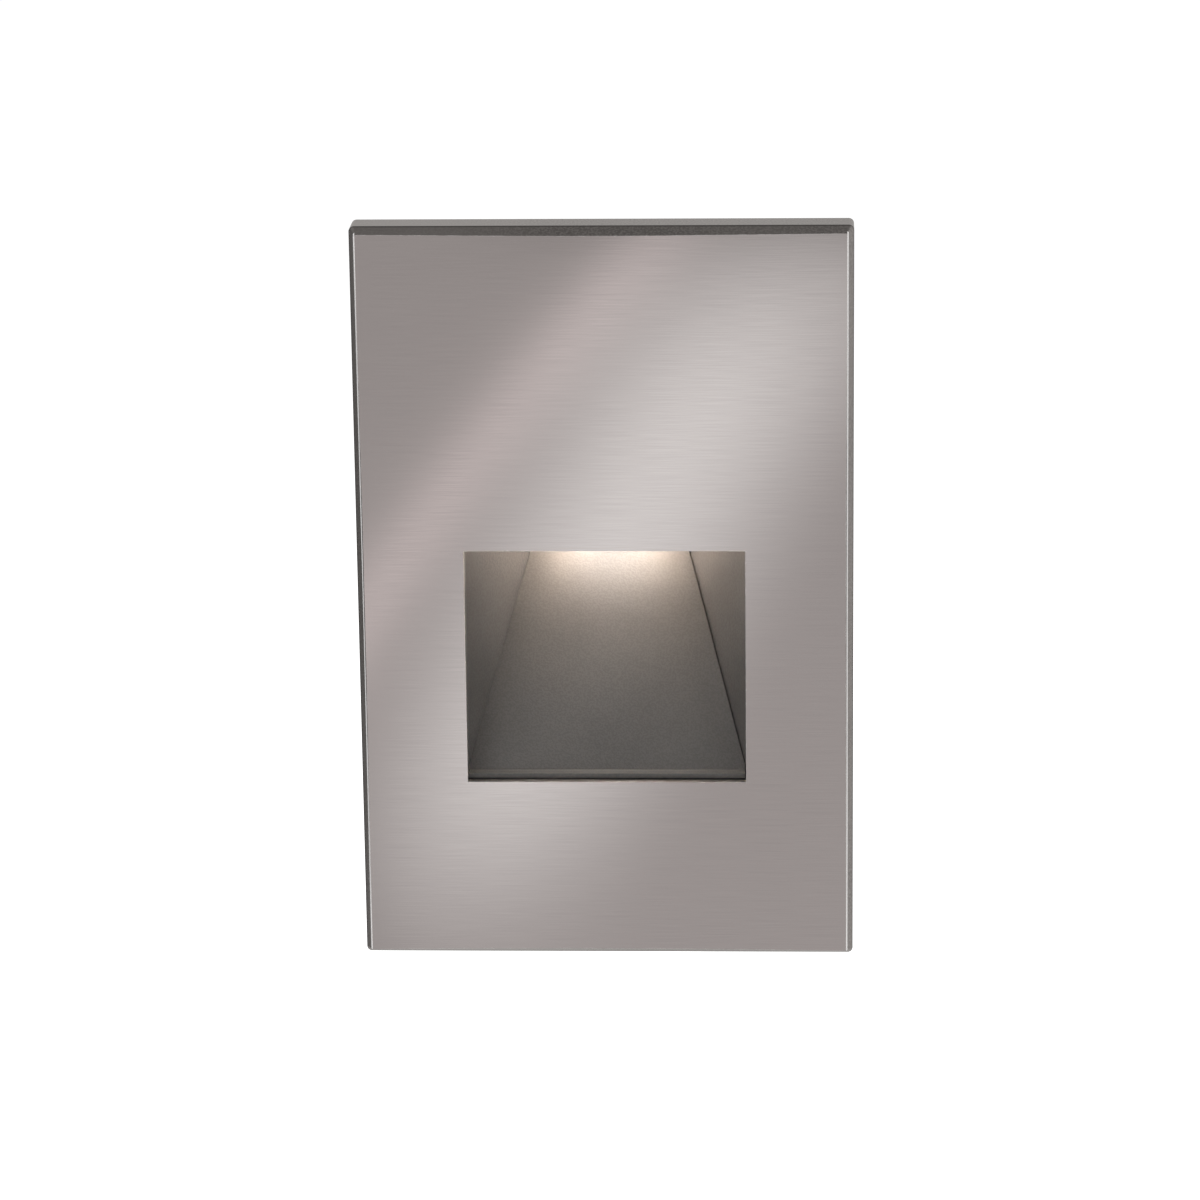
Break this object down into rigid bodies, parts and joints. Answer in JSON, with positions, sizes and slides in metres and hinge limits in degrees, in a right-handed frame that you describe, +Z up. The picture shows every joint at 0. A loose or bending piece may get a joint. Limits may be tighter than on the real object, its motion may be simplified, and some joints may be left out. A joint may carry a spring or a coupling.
{
  "type": "step light",
  "caption": "Recessed vertical step light: brushed stainless face plate with a square window to a sloped light niche, on a housing that fits a single-gang wall box.",
  "frame": {"origin": "middle of the two wall-box screws, on the surface of the wall", "axes": "+Z up along the tall side of the plate, +Y into the wall, +X to the right seen from in front"},
  "size_m": [0.0856, 0.0527, 0.13],
  "materials": {
    "brushed_stainless": "horizontally brushed stainless steel",
    "foam": "closed-cell foam",
    "screw_steel": "plain stainless steel",
    "housing_casting": "dark grey powder-coated die casting",
    "reflector_sheet": "satin grey painted sheet",
    "tape": "adhesive tape",
    "frosted_glass": "frosted",
    "rubber": "silicone rubber",
    "retainer_steel": "plain sheet steel",
    "board_white": "aluminium-core board, white mask",
    "light_chip": "emissive, warm white light source",
    "thermal_pad": "soft silicone pad",
    "aluminium": "mill-finish extrusion",
    "lead_insulation": "lead insulation",
    "board_green": "glass-fibre board",
    "ferrite": "ferrite and winding tape",
    "capacitor_sleeve": "shrink sleeve",
    "black_plastic": "moulded",
    "resistor_body": "lacquered barrel",
    "insulator_sheet": "insulating paper",
    "zinc_steel": "zinc-plated sheet steel",
    "zinc_screw": "zinc-plated steel",
    "ground_green": "green passivated steel"
  },
  "bodies": {
    "bracket": {"mounting_bracket": "zinc_steel", "box_screws": "zinc_screw", "ground_screw": "ground_green"},
    "luminaire": {"face_plate": "brushed_stainless", "wall_gasket": "foam", "set_screws": "screw_steel", "housing": "housing_casting", "housing_gasket": "foam", "housing_screws": "screw_steel", "reflector_ramp": "reflector_sheet", "ramp_tape": "tape", "led_lens": "frosted_glass", "lens_gasket": "rubber", "lens_retainer": "retainer_steel", "lens_retainer_screws": "screw_steel", "led_board": "board_white", "led_chips": "light_chip", "led_board_screws": "screw_steel", "thermal_pad": "thermal_pad", "heat_sink": "aluminium", "heat_sink_screws": "screw_steel", "led_leads": "lead_insulation", "driver_board": "board_green", "driver_transformer": "ferrite", "driver_capacitors": "capacitor_sleeve", "driver_choke": "ferrite", "driver_fuse": "black_plastic", "driver_rectifier": "black_plastic", "driver_chip": "black_plastic", "driver_resistors": "resistor_body", "driver_screws": "screw_steel", "driver_insulator": "insulator_sheet", "rear_cover": "housing_casting", "rear_cover_gasket": "rubber", "rear_cover_screws": "screw_steel", "lead_bushing": "black_plastic"}
  },
  "joints": [
    {"name": "pull_off", "type": "slide", "parent": "bracket", "child": "luminaire", "axis": [0, -1, 0], "range_m": [0, 0.055]}
  ]
}
